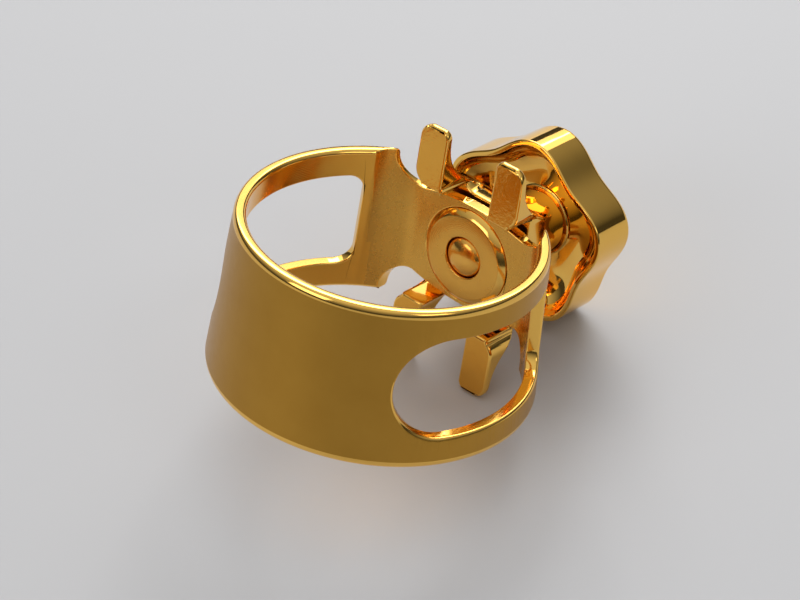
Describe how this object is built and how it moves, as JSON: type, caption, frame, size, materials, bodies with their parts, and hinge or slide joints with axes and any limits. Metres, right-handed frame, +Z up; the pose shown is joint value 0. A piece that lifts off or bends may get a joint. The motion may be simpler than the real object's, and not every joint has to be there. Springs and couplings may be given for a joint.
{
  "type": "saxophone ligature",
  "caption": "Rigid tapered metal ring that clamps a reed to a saxophone mouthpiece, with side windows, a legged pressure plate and a clamping screw turned by a hollow lobed knob.",
  "frame": {"origin": "on the table under the middle of the ligature as it lies at rest", "axes": "+Z up from the table; +X towards the knob, seen from above; the ligature is the same on both sides of the XZ plane"},
  "size_m": [0.0454, 0.032, 0.0275],
  "materials": {
    "satin_gold": "gold-plated, fine satin outside with polished edges",
    "turned_gold": "gold-plated over a turned face",
    "cast_gold": "gold-plated over a cast surface, polished edges",
    "screw_gold": "gold-plated, polished",
    "spring_gold": "gold-plated spring metal",
    "polished_gold": "gold-plated, mirror polished"
  },
  "bodies": {
    "ring": {"ring_body": "satin_gold", "threaded_bush": "turned_gold"},
    "claw": {"claw_plate": "cast_gold"},
    "screw": {"clamping_screw": "screw_gold", "retaining_ring": "spring_gold", "knob": "polished_gold"}
  },
  "joints": [
    {"name": "claw_slide", "type": "slide", "parent": "ring", "child": "claw", "axis": [0.9605, 0, -0.2783], "range_m": [-0.00029, 0.00145]},
    {"name": "knob_turn", "type": "hinge", "parent": "claw", "child": "screw", "pos_m": [0.01505, 0, 0.00968], "axis": [0.9605, 0, -0.2783], "range_deg": [-160, 760]}
  ],
  "couplings": [
    {"joint": "knob_turn", "follows": "claw_slide", "rad_per_m": 8976}
  ]
}
